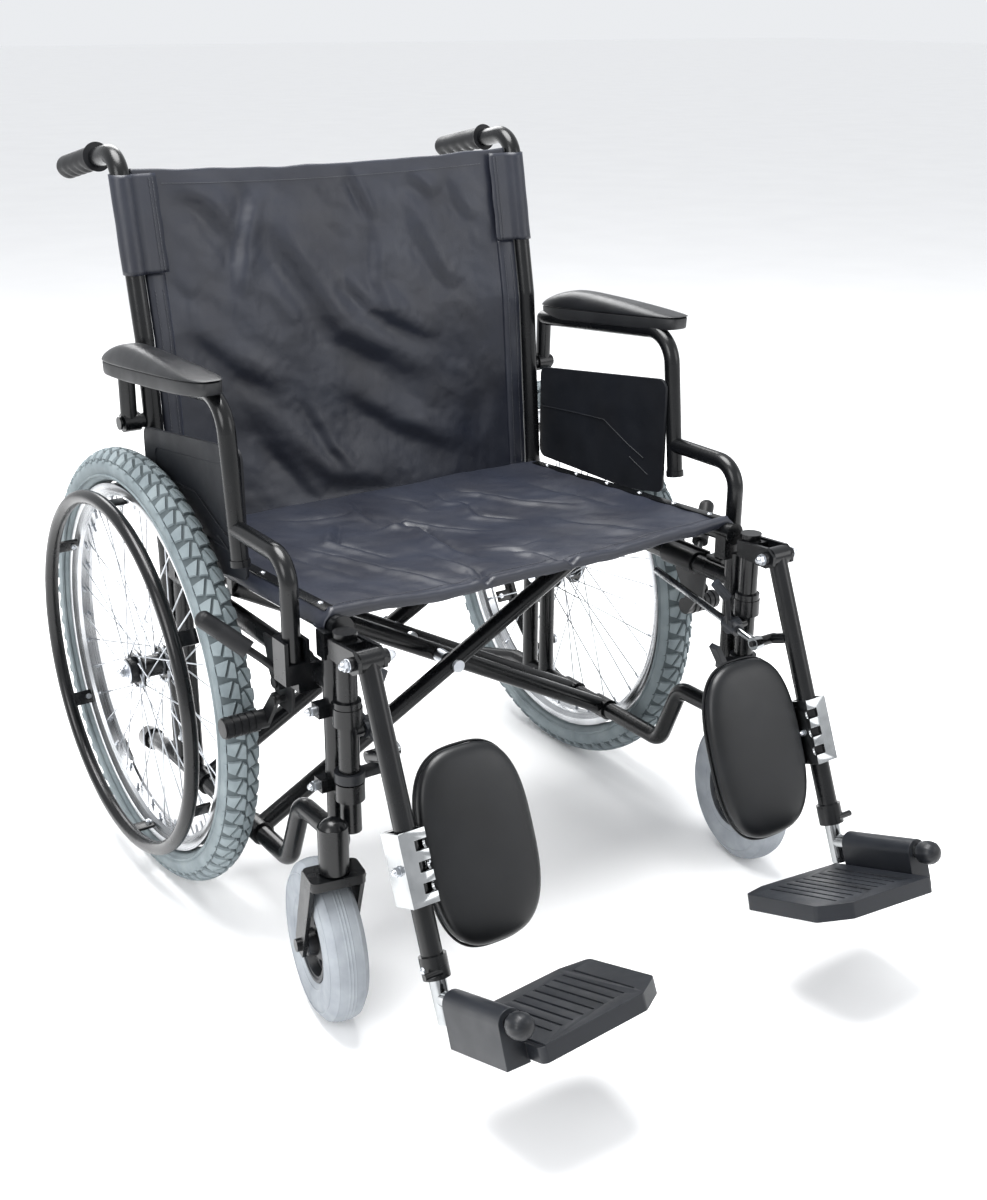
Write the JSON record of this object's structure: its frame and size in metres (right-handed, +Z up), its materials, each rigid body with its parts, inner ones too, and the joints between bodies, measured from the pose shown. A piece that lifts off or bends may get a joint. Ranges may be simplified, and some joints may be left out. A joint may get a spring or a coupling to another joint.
{
  "type": "manual wheelchair",
  "caption": "Folding manual wheelchair with sling seat, push handles, flip-back armrests and elevating swing-away legrests.",
  "frame": {"origin": "on the floor under the middle of the whole chair's footprint", "axes": "+Z up, -Y the way the user faces, +X the user's left-hand side; rear axle at y = +0.269"},
  "size_m": [0.825, 1.1445, 0.9827],
  "materials": {
    "frame_paint": "gloss black powder coat over steel tube",
    "fork_paint": "gloss black paint",
    "bracket_steel": "black coated pressed steel",
    "grip_rubber": "matte moulded rubber",
    "grey_tyre": "grey non-marking rubber",
    "caster_rubber": "grey solid rubber",
    "rim_alloy": "polished alloy",
    "spoke_steel": "drawn steel wire",
    "hub_black": "gloss black with turned bands",
    "hub_plastic": "moulded black nylon",
    "arm_pad": "black self-skinned foam",
    "calf_vinyl": "black vinyl upholstery",
    "guard_plastic": "fine-textured black sheet",
    "chrome": "bright chrome plate",
    "plate_plastic": "moulded glass-filled nylon",
    "fastener_zinc": "zinc-plated steel",
    "sling_nylon": "black-navy woven nylon"
  },
  "bodies": {
    "left_frame": {"left_side_frame": "frame_paint", "left_back_cane": "frame_paint", "left_push_grip": "grip_rubber", "left_brake_bracket": "bracket_steel", "left_fasteners": "fastener_zinc"},
    "left_rear_wheel": {"left_rear_tyre": "grey_tyre", "left_rear_rim": "rim_alloy", "left_spokes": "spoke_steel", "left_rear_hub": "hub_black", "left_handrim": "frame_paint"},
    "left_caster_fork": {"left_caster_fork": "fork_paint"},
    "left_caster_wheel": {"left_caster_tyre": "caster_rubber", "left_caster_hub": "hub_plastic"},
    "left_brake_lever": {"left_brake_lever": "bracket_steel"},
    "left_brake_shoe": {"left_brake_shoe": "bracket_steel"},
    "left_armrest": {"left_armrest_tube": "frame_paint", "left_armrest_pad": "arm_pad", "left_skirt_guard": "guard_plastic"},
    "left_legrest": {"left_legrest_hanger": "frame_paint"},
    "left_legrest_latch": {"left_legrest_latch": "hub_plastic"},
    "left_leg": {"left_leg_tube": "frame_paint", "left_calf_bracket": "chrome", "left_calf_pad": "calf_vinyl", "left_foot_post": "chrome"},
    "left_leg_rod": {"left_leg_rod": "chrome"},
    "left_rod_clamp": {"left_rod_clamp": "hub_plastic"},
    "left_footplate": {"left_footplate": "plate_plastic"},
    "right_frame": {"right_side_frame": "frame_paint", "right_back_cane": "frame_paint", "right_push_grip": "grip_rubber", "right_brake_bracket": "bracket_steel", "right_fasteners": "fastener_zinc", "back_sling": "sling_nylon"},
    "right_rear_wheel": {"right_rear_tyre": "grey_tyre", "right_rear_rim": "rim_alloy", "right_spokes": "spoke_steel", "right_rear_hub": "hub_black", "right_handrim": "frame_paint"},
    "right_caster_fork": {"right_caster_fork": "fork_paint"},
    "right_caster_wheel": {"right_caster_tyre": "caster_rubber", "right_caster_hub": "hub_plastic"},
    "right_brake_lever": {"right_brake_lever": "bracket_steel"},
    "right_brake_shoe": {"right_brake_shoe": "bracket_steel"},
    "right_armrest": {"right_armrest_tube": "frame_paint", "right_armrest_pad": "arm_pad", "right_skirt_guard": "guard_plastic"},
    "right_legrest": {"right_legrest_hanger": "frame_paint"},
    "right_legrest_latch": {"right_legrest_latch": "hub_plastic"},
    "right_leg": {"right_leg_tube": "frame_paint", "right_calf_bracket": "chrome", "right_calf_pad": "calf_vinyl", "right_foot_post": "chrome"},
    "right_leg_rod": {"right_leg_rod": "chrome"},
    "right_rod_clamp": {"right_rod_clamp": "hub_plastic"},
    "right_footplate": {"right_footplate": "plate_plastic"},
    "cross_a": {"cross_brace_a": "frame_paint", "cross_pivot_bolts": "fastener_zinc"},
    "cross_b": {"cross_brace_b": "frame_paint", "seat_sling": "sling_nylon"}
  },
  "joints": [
    {"name": "fold", "type": "hinge", "parent": "right_frame", "child": "cross_a", "pos_m": [-0.307, 0.269, 0.136], "axis": [0, -1, 0], "range_deg": [0, 28], "deforming": ["seat_sling", "back_sling"]},
    {"name": "cross_pivot", "type": "hinge", "parent": "cross_a", "child": "cross_b", "pos_m": [0, 0.269, 0.301], "axis": [0, -1, 0], "range_deg": [-57, 1]},
    {"name": "left_frame_hinge", "type": "hinge", "parent": "cross_b", "child": "left_frame", "pos_m": [0.307, 0.269, 0.136], "axis": [0, -1, 0], "range_deg": [-1, 29]},
    {"name": "right_wheel_spin", "type": "hinge", "parent": "right_frame", "child": "right_rear_wheel", "pos_m": [-0.354, 0.269, 0.303], "axis": [1, 0, 0], "continuous": true},
    {"name": "right_caster_swivel", "type": "hinge", "parent": "right_frame", "child": "right_caster_fork", "pos_m": [-0.338, -0.218, 0.247], "axis": [0, 0, 1], "continuous": true},
    {"name": "right_caster_spin", "type": "hinge", "parent": "right_caster_fork", "child": "right_caster_wheel", "pos_m": [-0.33071, -0.17664, 0.1], "axis": [0.9848, -0.1736, 0], "continuous": true},
    {"name": "right_brake", "type": "hinge", "parent": "right_frame", "child": "right_brake_lever", "pos_m": [-0.32, -0.076, 0.402], "axis": [1, 0, 0], "range_deg": [0, 55]},
    {"name": "right_brake_shoe_swing", "type": "hinge", "parent": "right_frame", "child": "right_brake_shoe", "pos_m": [-0.32, -0.083, 0.382], "axis": [1, 0, 0], "range_deg": [-0.5, 7.5]},
    {"name": "right_armrest_flip", "type": "hinge", "parent": "right_frame", "child": "right_armrest", "pos_m": [-0.338, 0.311, 0.636], "axis": [-1, 0, 0], "range_deg": [0, 100]},
    {"name": "right_legrest_swing", "type": "hinge", "parent": "right_frame", "child": "right_legrest", "pos_m": [-0.306, -0.204, 0.35], "axis": [0, 0, -1], "range_deg": [0, 90]},
    {"name": "right_latch_press", "type": "hinge", "parent": "right_legrest", "child": "right_legrest_latch", "pos_m": [-0.306, -0.204, 0.326], "axis": [0, 0, -1], "range_deg": [0, 20], "stiffness_Nm_per_rad": 0.6, "springref_deg": -5.73},
    {"name": "right_leg_raise", "type": "hinge", "parent": "right_legrest", "child": "right_leg", "pos_m": [-0.306, -0.253, 0.487], "axis": [-1, 0, 0], "range_deg": [0, 65]},
    {"name": "right_rod_pivot", "type": "hinge", "parent": "right_leg", "child": "right_leg_rod", "pos_m": [-0.278, -0.25501, 0.37202], "axis": [-1, 0, 0], "range_deg": [-33.5, 1]},
    {"name": "right_clamp_pivot", "type": "hinge", "parent": "right_legrest", "child": "right_rod_clamp", "pos_m": [-0.278, -0.20807, 0.38114], "axis": [-1, 0, 0], "range_deg": [-1, 33.5]},
    {"name": "right_footplate_flip", "type": "hinge", "parent": "right_leg", "child": "right_footplate", "pos_m": [-0.306, -0.396, 0.134], "axis": [0, -0.9397, 0.342], "range_deg": [0, 86]},
    {"name": "left_wheel_spin", "type": "hinge", "parent": "left_frame", "child": "left_rear_wheel", "pos_m": [0.354, 0.269, 0.303], "axis": [1, 0, 0], "continuous": true},
    {"name": "left_caster_swivel", "type": "hinge", "parent": "left_frame", "child": "left_caster_fork", "pos_m": [0.338, -0.218, 0.247], "axis": [0, 0, 1], "continuous": true},
    {"name": "left_caster_spin", "type": "hinge", "parent": "left_caster_fork", "child": "left_caster_wheel", "pos_m": [0.34529, -0.17664, 0.1], "axis": [0.9848, -0.1736, 0], "continuous": true},
    {"name": "left_brake", "type": "hinge", "parent": "left_frame", "child": "left_brake_lever", "pos_m": [0.32, -0.076, 0.402], "axis": [1, 0, 0], "range_deg": [0, 55]},
    {"name": "left_brake_shoe_swing", "type": "hinge", "parent": "left_frame", "child": "left_brake_shoe", "pos_m": [0.32, -0.083, 0.382], "axis": [1, 0, 0], "range_deg": [-0.5, 7.5]},
    {"name": "left_armrest_flip", "type": "hinge", "parent": "left_frame", "child": "left_armrest", "pos_m": [0.338, 0.311, 0.636], "axis": [-1, 0, 0], "range_deg": [0, 100]},
    {"name": "left_legrest_swing", "type": "hinge", "parent": "left_frame", "child": "left_legrest", "pos_m": [0.306, -0.204, 0.35], "axis": [0, 0, 1], "range_deg": [0, 90]},
    {"name": "left_latch_press", "type": "hinge", "parent": "left_legrest", "child": "left_legrest_latch", "pos_m": [0.306, -0.204, 0.326], "axis": [0, 0, 1], "range_deg": [0, 20], "stiffness_Nm_per_rad": 0.6, "springref_deg": -5.73},
    {"name": "left_leg_raise", "type": "hinge", "parent": "left_legrest", "child": "left_leg", "pos_m": [0.306, -0.253, 0.487], "axis": [-1, 0, 0], "range_deg": [0, 65]},
    {"name": "left_rod_pivot", "type": "hinge", "parent": "left_leg", "child": "left_leg_rod", "pos_m": [0.278, -0.25501, 0.37202], "axis": [-1, 0, 0], "range_deg": [-33.5, 1]},
    {"name": "left_clamp_pivot", "type": "hinge", "parent": "left_legrest", "child": "left_rod_clamp", "pos_m": [0.278, -0.20807, 0.38114], "axis": [-1, 0, 0], "range_deg": [-1, 33.5]},
    {"name": "left_footplate_flip", "type": "hinge", "parent": "left_leg", "child": "left_footplate", "pos_m": [0.306, -0.396, 0.134], "axis": [0, 0.9397, -0.342], "range_deg": [0, 86]}
  ],
  "couplings": [
    {"joint": "cross_pivot", "follows": "fold", "ratio": -2},
    {"joint": "left_frame_hinge", "follows": "fold", "ratio": 1},
    {"joint": "right_brake_shoe_swing", "follows": "right_brake", "ratio": 0.115},
    {"joint": "right_rod_pivot", "follows": "right_leg_raise", "ratio": -0.5},
    {"joint": "right_clamp_pivot", "follows": "right_leg_raise", "ratio": 0.5},
    {"joint": "left_brake_shoe_swing", "follows": "left_brake", "ratio": 0.115},
    {"joint": "left_rod_pivot", "follows": "left_leg_raise", "ratio": -0.5},
    {"joint": "left_clamp_pivot", "follows": "left_leg_raise", "ratio": 0.5}
  ]
}
